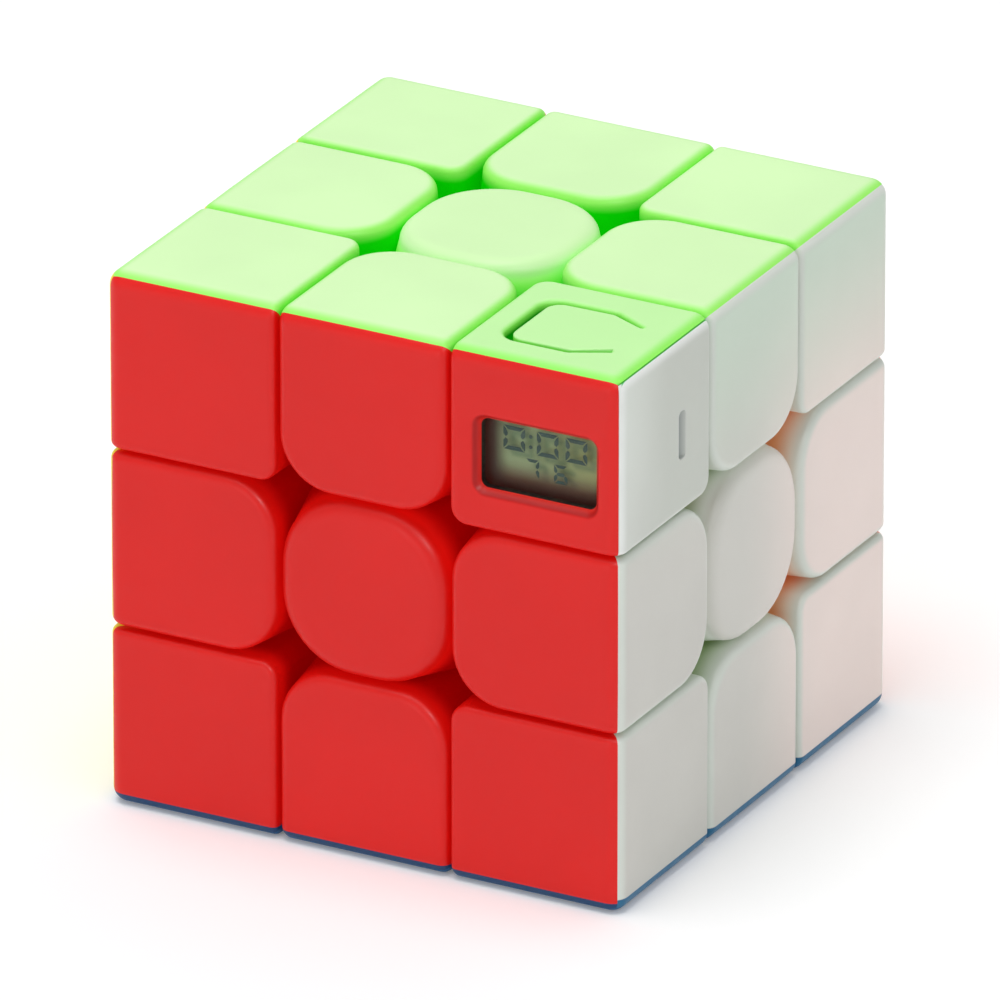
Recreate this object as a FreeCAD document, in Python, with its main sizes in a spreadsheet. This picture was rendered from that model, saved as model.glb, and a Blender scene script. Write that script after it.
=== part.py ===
import FreeCAD, Part

import itertools
import math
import os

import Sketcher

# A stickerless 3 x 3 twisty cube whose top front right corner holds a small timer.
# Frame: origin at the cube's centre, +X right, +Y back, +Z up; millimetres.

Vector = FreeCAD.Vector
doc = FreeCAD.newDocument("SpeedCubeTimer")

# ---------------------------------------------------------------- driving dimensions

SIZES = (
    ("cube_width", 56.0, "outside width of the cube"),
    ("seam_gap", 0.3, "gap between neighbouring pieces"),
    ("wall", 1.6, "wall of every coloured shell"),
    ("foot_undercut", 2.8, "how far a foot reaches under the next layer"),
    ("foot_reach", 2.85, "running sphere outside the cell's inner corner"),
    ("outer_bevel", 0.5, "bevel of the cube's outer edges"),
    ("corner_radius", 1.8, "inner corner of a corner piece's face"),
    ("edge_radius", 5.6, "inner corners of an edge piece's face"),
    ("edge_square", 8.5, "depth below which an edge piece is square"),
    ("centre_radius", 7.8, "corners of a centre piece's face"),
    ("centre_square", 6.5, "depth below which a centre piece is square"),
    ("cap_thickness", 2.6, "removable cap of a centre piece"),
    ("cap_plug", 1.5, "plug of the cap in the screw well"),
    ("plug_fit", 0.05, "radial clearance of that plug"),
    ("well_radius", 4.2, "screw well in a centre piece"),
    ("web_thickness", 1.6, "floor of the well that the spring presses on"),
    ("arm_radius", 3.9, "six-sided arms of the core, round their corners"),
    ("arm_reach", 9.4, "seat of an arm from the cube's centre"),
    ("arm_gap", 0.1, "running gap between an arm and its centre piece"),
    ("hub_width", 12.0, "cube at the middle of the core"),
    ("hub_chamfer", 2.0, "chamfer of the hub's edges"),
    ("screw_radius", 1.2, "shank of a tension screw"),
    ("screw_grip", 4.6, "thread inside the core"),
    ("screw_clearance", 0.3, "radial clearance of the shank in the web"),
    ("head_radius", 3.2, "six-sided head of a tension screw, round its corners"),
    ("head_height", 2.0, "height of that head"),
    ("spring_radius", 3.0, "outside of a tension spring"),
    ("spring_wire", 0.7, "its wire"),
    ("spring_length", 5.0, "its length when tensioned"),
    ("window_width", 13.4, "display opening at the front face"),
    ("window_height", 8.2, "its height"),
    ("window_radius", 1.3, "its corners"),
    ("window_bevel", 0.5, "bevel round the opening"),
    ("window_bevel_depth", 0.85, "depth of that bevel"),
    ("window_shift_x", 0.13, "opening's centre right of the face's centre"),
    ("window_drop", 1.35, "opening's centre below the face's centre"),
    ("lens_margin", 0.8, "lens beyond the opening above and below"),
    ("display_gap", 0.1, "gap between the display and the walls beside it"),
    ("lens_thickness", 0.7, "clear lens behind the opening"),
    ("glass_thickness", 0.6, "each of the display's two glass plates"),
    ("glass_floor", 0.15, "gap under the front glass"),
    ("connector_depth", 1.5, "elastomer strip from display to board"),
    ("board_thickness", 0.8, "circuit board"),
    ("board_inset", 0.3, "gap round the board in the housing"),
    ("board_notch", 1.4, "board's top edge below the top wall"),
    ("switch_width", 4.0, "body of the start switch"),
    ("switch_height", 3.0, "its height"),
    ("plunger_radius", 0.9, "its plunger"),
    ("plunger_height", 0.9, "plunger above the body"),
    ("cell_radius", 3.95, "coin cell"),
    ("cell_thickness", 3.4, "can of the cell"),
    ("cell_button", 0.2, "raised terminal of the cell"),
    ("cell_gap", 0.1, "gap at each terminal"),
    ("cell_drop", 2.5, "cells' axis below the face's centre"),
    ("contact_thickness", 0.25, "spring contact strips"),
    ("contact_width", 4.0, "their width"),
    ("tongue_length", 10.4, "start button from its hinge to its tip"),
    ("tongue_half", 4.65, "half width of the button"),
    ("tongue_neck", 2.8, "half width of the button at its hinge"),
    ("tongue_taper", 3.7, "length of the taper towards the hinge"),
    ("tongue_radius", 1.6, "corners of the button's tip"),
    ("tongue_drop", 0.1, "button's face below the cube's face"),
    ("tongue_hinge", 4.3, "hinge line from the cube's right face"),
    ("tip_slot", 0.9, "slot at the button's tip"),
    ("side_slot", 0.5, "slot beside the button"),
    ("knuckle_fit", 0.08, "clearance round the rolled hinge edge"),
    ("pip_radius", 0.8, "pip under the button"),
    ("pip_height", 0.9, "its height"),
    ("pip_place", 6.9, "pip from the hinge line"),
    ("cover_depth", 2.4, "battery cover, from its face to its rim"),
    ("cover_gap", 0.1, "gap behind the cover's rim"),
    ("cover_seam", 0.3, "seam between the cover and its neighbours"),
    ("pry_width", 1.15, "pry slot in the cover"),
    ("pry_height", 5.0, "its height"),
    ("pry_depth", 1.1, "its deep side"),
    ("pry_shallow", 0.25, "its shallow side"),
    ("pry_place", 5.4, "slot's middle from the face's inner side"),
    ("pry_drop", 0.95, "slot's middle below the face's centre"),
)

sheet = doc.addObject("Spreadsheet::Sheet", "Sizes")
for row, (alias, size, note) in enumerate(SIZES, 1):
    sheet.set(f"A{row}", str(size))
    sheet.setAlias(f"A{row}", alias)
    sheet.set(f"B{row}", note)
doc.recompute()


def less(*terms):
    """The first term minus all the others."""
    return "(" + " - ".join(terms) + ")"


def plus(*terms):
    return "(" + " + ".join(terms) + ")"


def minus(term):
    return f"(-1 * {term})"


def cell(alias):
    return f"Sizes.{alias}"


def number(expression):
    return float(sheet.evalExpression(expression))


# Planes and spheres shared by all the pieces, as expressions on the sheet
HALF = "(Sizes.cube_width / 2)"
LAYER = "(Sizes.cube_width / 6)"
GAP = "(Sizes.seam_gap / 2)"
MIDDLE = "(Sizes.cube_width / 3)"                # middle of an outer layer
NEAR = plus(LAYER, GAP)                          # an outer layer's inner side
SLICE = less(LAYER, GAP)                         # half width of a middle-slice piece
FOOT = plus(less(LAYER, cell("foot_undercut")), GAP)
STEM = less(LAYER, cell("foot_undercut"), GAP)   # half width of feet in the middle slice
TRACK = f"({LAYER} * sqrt(3) + Sizes.foot_reach)"
UNDER = less(TRACK, GAP)                         # feet stay inside this sphere
OVER = plus(TRACK, GAP)                          # outer blocks stay outside this one
INNER = less(HALF, cell("wall"))                 # inner side of an outer wall
CAVITY = plus(NEAR, cell("wall"))

# ---------------------------------------------------------------- building helpers


def box(name, low, high):
    """A box between two corners, each given as three expressions."""
    item = doc.addObject("Part::Box", name)
    sides = ("Length", "Width", "Height")
    for side, axis, start, end in zip(sides, "xyz", low, high):
        item.setExpression(side, less(end, start))
        item.setExpression(f"Placement.Base.{axis}", start)
    return item


TURN_FROM_Z = {
    "x": FreeCAD.Rotation(Vector(0, 1, 0), 90),
    "y": FreeCAD.Rotation(Vector(1, 0, 0), -90),
    "z": FreeCAD.Rotation(),
}


def cylinder(name, radius, start, length, along="z"):
    item = doc.addObject("Part::Cylinder", name)
    item.Placement = FreeCAD.Placement(Vector(), TURN_FROM_Z[along])
    item.setExpression("Radius", radius)
    item.setExpression("Height", length)
    for axis, place in zip("xyz", start):
        item.setExpression(f"Placement.Base.{axis}", place)
    return item


def prism(name, radius, start, length):
    """A six-sided prism about Z; the radius is the one round its corners."""
    item = doc.addObject("Part::Prism", name)
    item.Polygon = 6
    item.setExpression("Circumradius", radius)
    item.setExpression("Height", length)
    item.setExpression("Placement.Base.z", start)
    return item


def cut(name, base, *tools):
    for number_of, tool in enumerate(tools, 1):
        last = number_of == len(tools)
        item = doc.addObject("Part::Cut", name if last else f"{name}_{number_of}")
        item.Base = base
        item.Tool = tool
        base = item
    item.Refine = True
    return item


def common(name, base, *tools):
    for number_of, tool in enumerate(tools, 1):
        last = number_of == len(tools)
        item = doc.addObject("Part::Common", name if last else f"{name}_{number_of}")
        item.Base = base
        item.Tool = tool
        base = item
    return item


def fuse(name, *shapes):
    item = doc.addObject("Part::MultiFuse", name)
    item.Shapes = list(shapes)
    item.Refine = True
    return item


def group(name, *items):
    """Separate solids that share one node."""
    item = doc.addObject("Part::Compound", name)
    item.Links = list(items)
    return item


def placed(name, source, rotation, base=Vector()):
    """A turned copy of a master piece."""
    item = doc.addObject("App::Link", name)
    item.setLink(source)
    item.LinkTransform = True
    item.Placement = FreeCAD.Placement(base, rotation)
    return item


def outline(body, name, plane, offset, corners):
    """A closed sketch of straight sides, with an arc at each corner that has a radius.

    Corners run counter-clockwise as (across, up, radius or None), all expressions.
    """
    sketch = body.newObject("Sketcher::SketchObject", name)
    support = [item for item in body.Origin.OriginFeatures if item.Role == plane][0]
    sketch.AttachmentSupport = [(support, "")]
    sketch.MapMode = "FlatFace"
    sketch.setExpression("AttachmentOffset.Base.z", offset)
    count = len(corners)
    points = [Vector(number(across), number(up), 0) for across, up, _ in corners]
    leaves, enters, arcs = [], [], {}
    for index, (point, (_, _, radius)) in enumerate(zip(points, corners)):
        if radius is None:
            enters.append(point)
            leaves.append(point)
            continue
        back = (points[index - 1] - point).normalize()
        ahead = (points[(index + 1) % count] - point).normalize()
        half_angle = back.getAngle(ahead) / 2
        size = number(radius)
        bisector = (back + ahead).normalize()
        centre = point + bisector * (size / math.sin(half_angle))
        enters.append(point + back * (size / math.tan(half_angle)))
        leaves.append(point + ahead * (size / math.tan(half_angle)))
        arcs[index] = Part.Arc(enters[-1], centre - bisector * size, leaves[-1])
    sides = [
        sketch.addGeometry(Part.LineSegment(leaves[index], enters[(index + 1) % count]), False)
        for index in range(count)
    ]

    def bound(kind, *references, to):
        index = sketch.addConstraint(Sketcher.Constraint(kind, *references, number(to)))
        sketch.setExpression(f"Constraints[{index}]", to)

    for index, (across, up, radius) in enumerate(corners):
        before, after = sides[index - 1], sides[index]
        where = after
        if radius is None:
            sketch.addConstraint(Sketcher.Constraint("Coincident", before, 2, after, 1))
        else:
            arc = sketch.addGeometry(arcs[index], False)
            where = sketch.addGeometry(Part.Point(points[index]), True)
            sketch.addConstraint(Sketcher.Constraint("Tangent", before, 2, arc, 1))
            sketch.addConstraint(Sketcher.Constraint("Tangent", arc, 2, after, 1))
            sketch.addConstraint(Sketcher.Constraint("PointOnObject", where, 1, before))
            sketch.addConstraint(Sketcher.Constraint("PointOnObject", where, 1, after))
            bound("Radius", arc, to=radius)
        bound("DistanceX", -1, 1, where, 1, to=across)
        bound("DistanceY", -1, 1, where, 1, to=up)
    return sketch


def lofted(name, plane, *sections):
    """A body that runs straight from one outline to the next; sections are (offset, corners)."""
    body = doc.addObject("PartDesign::Body", name)
    sketches = [
        outline(body, f"{name}_outline_{index}", plane, offset, corners)
        for index, (offset, corners) in enumerate(sections, 1)
    ]
    loft = body.newObject("PartDesign::AdditiveLoft", f"{name}_loft")
    loft.Profile = sketches[0]
    loft.Sections = sketches[1:]
    loft.Ruled = True
    return body


def padded(name, plane, offset, corners, length):
    body = doc.addObject("PartDesign::Body", name)
    sketch = outline(body, f"{name}_outline", plane, offset, corners)
    pad = body.newObject("PartDesign::Pad", f"{name}_pad")
    pad.Profile = sketch
    pad.setExpression("Length", length)
    return body


def bevelled(name, base, axes):
    """Bevels the edges where two of the cube's outer faces meet; axes are those faces' normals."""
    doc.recompute()
    half = number(HALF)
    near = 1e-4
    item = doc.addObject("Part::Chamfer", name)
    item.Base = base
    size = number(cell("outer_bevel"))
    chosen = []
    for index, edge in enumerate(base.Shape.Edges, 1):
        limits = edge.BoundBox
        starts = {"x": limits.XMin, "y": limits.YMin, "z": limits.ZMin}
        if sum(abs(starts[axis] - half) < near for axis in axes) == 2:
            chosen.append((index, size, size))
    item.Edges = chosen
    return item


def sector(name, shift="0"):
    """The pyramid over the top face from the cube's centre: its sides are the mitre planes."""
    item = doc.addObject("Part::Wedge", name)
    start, end = "1", "Sizes.cube_width"
    item.Placement = FreeCAD.Placement(Vector(), FreeCAD.Rotation(Vector(1, 0, 0), 90))
    for side, size in (("Ymin", start), ("Ymax", end)):
        item.setExpression(side, size)
    for low, high, size in (("Xmin", "Xmax", start), ("X2min", "X2max", end)):
        item.setExpression(low, minus(size))
        item.setExpression(high, size)
    for low, high, size in (("Zmin", "Zmax", start), ("Z2min", "Z2max", end)):
        item.setExpression(low, minus(size))
        item.setExpression(high, size)
    item.setExpression("Placement.Base.z", shift)
    return item


# ---------------------------------------------------------------- faces and directions

NORMALS = {
    "top": Vector(0, 0, 1),
    "bottom": Vector(0, 0, -1),
    "front": Vector(0, -1, 0),
    "back": Vector(0, 1, 0),
    "right": Vector(1, 0, 0),
    "left": Vector(-1, 0, 0),
}
COLOURS = {
    "top": "green",
    "bottom": "blue",
    "front": "red",
    "back": "orange",
    "right": "white",
    "left": "yellow",
}
THIRD_TURN = FreeCAD.Rotation(Vector(1, 1, 1), 120)
SWAP_TURN = FreeCAD.Rotation(Vector(0, 1, 1), 180)
TIMER_TURN = FreeCAD.Rotation(Vector(0, 0, 1), -90)


def facing(normal, first, second):
    """The turn that takes a master with its face up, towards +X +Y, to a face and its sides."""
    if first.cross(second).dot(normal) < 0:
        first, second = second, first
    return FreeCAD.Rotation(first, second, normal, "ZXY")


NODES = {}


def node(name, item):
    item.Label = name
    NODES[name] = item


# ---------------------------------------------------------------- corner pieces


def corner_master():
    """A corner block of three faces, and its foot of three wings that run in the layers."""
    face = [(NEAR, NEAR, cell("corner_radius")), (HALF, NEAR, None), (HALF, HALF, None), (NEAR, HALF, None)]
    upright = padded("corner_upright", "XY_Plane", NEAR, face, less(HALF, NEAR))
    turned = [placed(f"{name}_upright", upright, turn) for name, turn in
              (("second", THIRD_TURN), ("third", THIRD_TURN.inverted()))]
    block = bevelled("corner_block", common("corner_faces", upright, *turned), "xyz")
    reach = f"sqrt({UNDER} ^ 2 - {NEAR} ^ 2)"
    bounds = box("wing_bounds", (FOOT,) * 3, (reach, reach, plus(NEAR, "1")))
    wing = common("wing", bounds, cylinder("wing_edge", reach, ("0", "0", "0"), HALF))
    wings = [wing, placed("wing_second", wing, THIRD_TURN), placed("wing_third", wing, THIRD_TURN.inverted())]
    hollow = box("corner_cavity", (CAVITY,) * 3, (INNER,) * 3)
    return cut("corner_hollow", fuse("corner_whole", block, *wings), hollow)


def corner_name(sides):
    return "corner_" + "_".join(sides)


def corners(hollow, top_sector):
    """Seven plain corners of three coloured shells; the eighth is the timer."""
    shell = common("corner_shell", hollow, top_sector)
    rows = (("top", "bottom"), ("front", "back"), ("left", "right"))
    for sides in itertools.product(*rows):
        if sides == ("top", "front", "right"):
            continue
        for side in sides:
            others = [NORMALS[other] for other in sides if other != side]
            turn = facing(NORMALS[side], *others)
            name = f"{corner_name(sides)}_{COLOURS[side]}"
            node(name, placed(name, shell, turn))


# ---------------------------------------------------------------- edge pieces


def edge_master(top_sector):
    """An edge block facing up and back, its foot and its neck, split into two coloured halves."""
    face = [
        (minus(SLICE), NEAR, cell("edge_radius")), (SLICE, NEAR, cell("edge_radius")),
        (SLICE, HALF, None), (minus(SLICE), HALF, None),
    ]
    upright = padded("edge_upright", "XY_Plane", NEAR, face, less(HALF, NEAR))
    lying = placed("edge_lying", upright, SWAP_TURN)
    rounded = bevelled("edge_rounded", common("edge_faces", upright, lying), "yz")
    shelf = less(HALF, cell("edge_square"))
    block = fuse("edge_block", rounded, box("edge_base", (minus(SLICE), NEAR, NEAR), (SLICE, shelf, shelf)))
    arch_radius = f"sqrt({OVER} ^ 2 - {STEM} ^ 2)"
    track = cylinder("edge_track", arch_radius, (minus(HALF), "0", "0"), "Sizes.cube_width", "x")
    arch = cut("edge_arch", block, track)
    neck_top = f"(sqrt({arch_radius} ^ 2 - {NEAR} ^ 2) + Sizes.seam_gap * 2)"
    neck = box("edge_neck", (minus(STEM), NEAR, NEAR), (STEM, neck_top, neck_top))
    foot_radius = f"sqrt({UNDER} ^ 2 - {STEM} ^ 2)"
    bounds = box("edge_foot_bounds", (minus(STEM), FOOT, FOOT), (STEM, foot_radius, foot_radius))
    turned = cylinder("edge_foot_edge", foot_radius, (minus(HALF), "0", "0"), "Sizes.cube_width", "x")
    foot = common("edge_foot", bounds, turned)
    whole = fuse("edge_whole", arch, neck, foot)
    bevel = less(f"({plus(OVER, cell('wall'))} * sqrt(2))", CAVITY)
    side = less(SLICE, cell("wall"), cell("wall"))
    profile = [
        (bevel, CAVITY, None), (INNER, CAVITY, None), (INNER, INNER, None),
        (CAVITY, INNER, None), (CAVITY, bevel, None),
    ]
    hollow = padded("edge_cavity", "YZ_Plane", minus(side), profile, f"({side} * 2)")
    half = common("edge_half", cut("edge_hollow", whole, hollow), top_sector)
    return group("edge_pair", half, placed("edge_half_second", half, SWAP_TURN))


def edges(pair):
    """Twelve edges, each of two coloured halves."""
    rings = (("top", "bottom"), ("front", "back"), ("left", "right"))
    for one, other in itertools.combinations(rings, 2):
        for first, second in itertools.product(one, other):
            name = f"edge_{first}_{second}"
            side = NORMALS[second].cross(NORMALS[first])
            turn = FreeCAD.Rotation(side, NORMALS[second], NORMALS[first], "ZXY")
            node(name, placed(name, pair, turn))


# ---------------------------------------------------------------- centre pieces


def centre_masters():
    """A centre's base with its stem and screw well, and the cap that closes the well."""
    radius = cell("centre_radius")
    square = [(minus(SLICE), minus(SLICE)), (SLICE, minus(SLICE)), (SLICE, SLICE), (minus(SLICE), SLICE)]
    face = [(across, up, radius) for across, up in square]
    rounded = padded("centre_rounded", "XY_Plane", OVER, face, less(HALF, OVER))
    shelf = less(HALF, cell("centre_square"))
    square_base = box("centre_square", (minus(SLICE), minus(SLICE), OVER), (SLICE, SLICE, shelf))
    block = fuse("centre_block", rounded, square_base)
    seat = plus(cell("arm_reach"), cell("arm_gap"))
    stem_top = less(HALF, cell("cap_thickness"), cell("cap_plug"))
    stem = box("centre_stem", (minus(STEM), minus(STEM), seat), (STEM, STEM, stem_top))
    whole = fuse("centre_whole", block, stem)
    split = less(HALF, cell("cap_thickness"))
    floor = plus(seat, cell("web_thickness"))
    well = cylinder("centre_well", cell("well_radius"), ("0", "0", floor), less(HALF, floor))
    bore_radius = plus(cell("screw_radius"), cell("screw_clearance"))
    bore = cylinder("centre_bore", bore_radius, ("0", "0", "0"), HALF)
    above = box("centre_above", (minus(HALF), minus(HALF), split), (HALF, HALF, "Sizes.cube_width"))
    base = cut("centre_base", whole, above, well, bore)
    plug_start = less(split, cell("cap_plug"))
    side = f"({less(cell('well_radius'), cell('plug_fit'))} / sqrt(2))"
    plug = box("cap_plug", (minus(side), minus(side), plug_start), (side, side, less(HALF, cell("wall"))))
    cap = fuse("centre_cap", common("cap_plate", block, above), plug)
    return base, cap


def centres(base, cap):
    sides = {"top": "back", "bottom": "front", "front": "top", "back": "top", "right": "top", "left": "top"}
    for side, up in sides.items():
        normal, along = NORMALS[side], NORMALS[up]
        turn = FreeCAD.Rotation(along.cross(normal), along, normal, "ZXY")
        for part, master in (("base", base), ("cap", cap)):
            name = f"centre_{side}_{part}"
            node(name, placed(name, master, turn))


# ---------------------------------------------------------------- core, screws and springs


def on_all_faces(name, master):
    """The same small piece on each of the six arms."""
    copies = []
    for side, normal in NORMALS.items():
        turn = FreeCAD.Rotation(Vector(0, 0, 1), normal)
        copies.append(placed(f"{name}_{side}", master, turn))
    return copies


def core():
    half = "(Sizes.hub_width / 2)"
    block = box("hub_block", (minus(half),) * 3, (half,) * 3)
    doc.recompute()
    hub = doc.addObject("Part::Chamfer", "hub")
    hub.Base = block
    size = number(cell("hub_chamfer"))
    hub.Edges = [(index, size, size) for index in range(1, 13)]
    arm = prism("core_arm", cell("arm_radius"), "0", cell("arm_reach"))
    start = less(cell("arm_reach"), cell("screw_grip"))
    hole = cylinder("core_hole", cell("screw_radius"), ("0", "0", start), cell("screw_grip"))
    body = fuse("core_body", hub, *on_all_faces("core_arm", arm))
    holes = group("core_holes", *on_all_faces("core_hole", hole))
    node("core_spider", cut("core_spider", body, holes))


def tension():
    """Screw and spring of one arm, then six of each; a spring is a six-sided sleeve round the shank."""
    seat = plus(cell("arm_reach"), cell("arm_gap"))
    floor = plus(seat, cell("web_thickness"))
    start = less(cell("arm_reach"), cell("screw_grip"))
    head_low = plus(floor, cell("spring_length"))
    head = prism("screw_head", cell("head_radius"), head_low, cell("head_height"))
    shank = cylinder("screw_shank", cell("screw_radius"), ("0", "0", start), less(plus(head_low, "1"), start))
    node("tension_screws", group("tension_screws", *on_all_faces("screw", fuse("screw", head, shank))))
    outside = prism("spring_outside", cell("spring_radius"), floor, cell("spring_length"))
    bore_radius = less(cell("spring_radius"), cell("spring_wire"))
    bore = prism("spring_bore", bore_radius, floor, cell("spring_length"))
    spring = cut("spring", outside, bore)
    node("tension_springs", group("tension_springs", *on_all_faces("spring", spring)))


# ---------------------------------------------------------------- the timer corner

INNER_FRONT = minus(INNER)
WINDOW_X = plus(MIDDLE, cell("window_shift_x"))
WINDOW_Z = less(MIDDLE, cell("window_drop"))
LENS_BACK = plus(INNER_FRONT, cell("lens_thickness"))
GLASS_MIDDLE = plus(LENS_BACK, cell("glass_thickness"))
GLASS_BACK = plus(GLASS_MIDDLE, cell("glass_thickness"))
BOARD_FRONT = plus(GLASS_MIDDLE, cell("connector_depth"))
BOARD_BACK = plus(BOARD_FRONT, cell("board_thickness"))
GLASS_LOW = plus(CAVITY, cell("glass_floor"))
LENS_LOW = less(WINDOW_Z, "(Sizes.window_height / 2)", cell("lens_margin"))
GLASS_TOP = plus(WINDOW_Z, "(Sizes.window_height / 2)", cell("lens_margin"))
HINGE_X = less(HALF, cell("tongue_hinge"))
HINGE_Z = less(HALF, "(Sizes.wall / 2)")
TONGUE_Y = minus(MIDDLE)
PIP_X = less(HINGE_X, cell("pip_place"))
COVER_PLANE = less(HALF, cell("cover_depth"))


def rectangle(x, up, width, height, inset, radius):
    """Corners of a rounded opening about a point, inset on every side."""
    across = less(f"({width} / 2)", inset)
    rise = less(f"({height} / 2)", inset)
    size = less(radius, inset)
    return [
        (less(x, across), less(up, rise), size), (plus(x, across), less(up, rise), size),
        (plus(x, across), plus(up, rise), size), (less(x, across), plus(up, rise), size),
    ]


def window_tool():
    """The bevelled display opening through the front wall."""
    def opening(inset):
        return rectangle(
            WINDOW_X, WINDOW_Z, cell("window_width"), cell("window_height"), inset,
            cell("window_radius"),
        )

    step = less(HALF, cell("window_bevel_depth"))
    bevel = lofted("window_bevel", "XZ_Plane", (HALF, opening("0")), (step, opening(cell("window_bevel"))))
    inner = opening(cell("window_bevel"))
    through = padded("window_throat", "XZ_Plane", less(INNER, "0.5"), inner,
                     less(step, INNER, "-0.5"))
    return fuse("window", bevel, through)


def tongue_corners(tip, side, radius):
    """The start button's outline, grown by a tip and a side allowance."""
    left = less(HINGE_X, cell("tongue_length"), tip)
    taper = less(HINGE_X, cell("tongue_taper"))
    half = plus(cell("tongue_half"), side)
    neck = plus(cell("tongue_neck"), side)
    return [
        (left, less(TONGUE_Y, half), radius), (taper, less(TONGUE_Y, half), None),
        (HINGE_X, less(TONGUE_Y, neck), None), (HINGE_X, plus(TONGUE_Y, neck), None),
        (taper, plus(TONGUE_Y, half), None), (left, plus(TONGUE_Y, half), radius),
    ]


def knuckle(name, fit):
    """The rolled hinge edge of the button, or with a fit its seat in the shell."""
    half = plus(cell("tongue_neck"), fit)
    start = (HINGE_X, less(TONGUE_Y, half), HINGE_Z)
    return cylinder(name, plus("(Sizes.wall / 2 - 0.05)", fit), start, f"({half} * 2)", "y")


def timer_shells(hollow, top_sector):
    """Housing, top shell and battery cover, split from a corner like any other."""
    whole = placed("timer_whole", hollow, TIMER_TURN)
    slot = padded(
        "slot", "XY_Plane", less(INNER, "0.5"),
        tongue_corners(cell("tip_slot"), cell("side_slot"), plus(cell("tongue_radius"), "0.4")),
        plus(cell("wall"), "1"),
    )
    top = common("timer_top", whole, top_sector)
    node("timer_top_shell", cut("timer_top_shell", top, slot, knuckle("hinge_seat", cell("knuckle_fit"))))

    side_turn = FreeCAD.Rotation(Vector(0, 1, 0), 90)
    right_sector = placed("right_sector", top_sector, side_turn)
    cover_sector = placed("cover_sector", top_sector, side_turn)
    cover_sector.setExpression("Placement.Base.x", cell("cover_seam"))
    beyond = ("Sizes.cube_width", "0", "Sizes.cube_width")
    outside = box("outside_rim", (COVER_PLANE, minus("Sizes.cube_width"), "0"), beyond)
    room = box("cover_room", (less(COVER_PLANE, cell("cover_gap")), minus("Sizes.cube_width"), "0"), beyond)
    cover = common("cover_plain", whole, cover_sector, outside)
    node("battery_cover", cut("battery_cover", cover, pry_slot()))

    rest = cut("timer_rest", whole, top_sector, common("cover_space", room, right_sector))
    node("timer_housing", cut("timer_housing", rest, window_tool()))


def pry_slot():
    """A slot in the cover whose floor rises from its front side to its back side."""
    back = less(plus(minus(NEAR), "(Sizes.pry_width / 2)"), cell("pry_place"))
    front = less(back, cell("pry_width"))
    bottom = less(MIDDLE, cell("pry_drop"), "(Sizes.pry_height / 2)")
    outside = plus(HALF, "1")
    profile = [
        (less(HALF, cell("pry_depth")), front, None), (outside, front, None),
        (outside, back, None), (less(HALF, cell("pry_shallow")), back, None),
    ]
    return padded("pry_slot", "XY_Plane", bottom, profile, cell("pry_height"))


def button():
    """The start button: a tongue in the top wall that bends at its root and presses the switch."""
    face = less(HALF, cell("tongue_drop"))
    plate = padded("button_plate", "XY_Plane", INNER,
                   tongue_corners("0", "0", cell("tongue_radius")), less(face, INNER))
    start = (PIP_X, TONGUE_Y, less(INNER, cell("pip_height")))
    pip = cylinder("button_pip", cell("pip_radius"), start, plus(cell("pip_height"), "0.5"))
    node("timer_button", fuse("timer_button", plate, knuckle("button_knuckle", "0"), pip))


def display():
    left, right = plus(CAVITY, cell("display_gap")), less(INNER, cell("display_gap"))
    lens = box("lens", (left, INNER_FRONT, LENS_LOW), (right, LENS_BACK, GLASS_TOP))
    node("lcd_window_lens", lens)
    front = box("front_glass", (left, LENS_BACK, GLASS_LOW), (right, GLASS_MIDDLE, GLASS_TOP))
    rear = box("rear_glass", (left, GLASS_MIDDLE, LENS_LOW), (right, GLASS_BACK, GLASS_TOP))
    node("lcd_panel", fuse("lcd_panel", front, rear))
    strip_left, strip_right = plus(left, "1"), less(right, "1")
    strip_low, strip_top = plus(GLASS_LOW, "0.1"), less(LENS_LOW, "0.1")
    strip = box("strip", (strip_left, GLASS_MIDDLE, strip_low), (strip_right, BOARD_FRONT, strip_top))
    node("lcd_connector", strip)


def electronics():
    low, high = plus(CAVITY, cell("board_inset")), less(INNER, cell("board_inset"))
    board_right = less(COVER_PLANE, cell("board_inset"))
    board = box("board", (low, BOARD_FRONT, low), (board_right, BOARD_BACK, less(INNER, cell("board_notch"))))
    node("circuit_board", board)

    plunger_top = less(INNER, cell("pip_height"), "0.5")
    body_top = less(plunger_top, cell("plunger_height"))
    half = "(Sizes.switch_width / 2)"
    switch_back = plus(TONGUE_Y, half)
    body = box(
        "switch_body", (less(PIP_X, half), BOARD_BACK, less(body_top, cell("switch_height"))),
        (plus(PIP_X, half), switch_back, body_top),
    )
    plunger = cylinder(
        "switch_plunger", cell("plunger_radius"), (PIP_X, TONGUE_Y, less(body_top, "0.5")),
        plus(cell("plunger_height"), "0.5"),
    )
    node("start_switch", fuse("start_switch", body, plunger))


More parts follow.
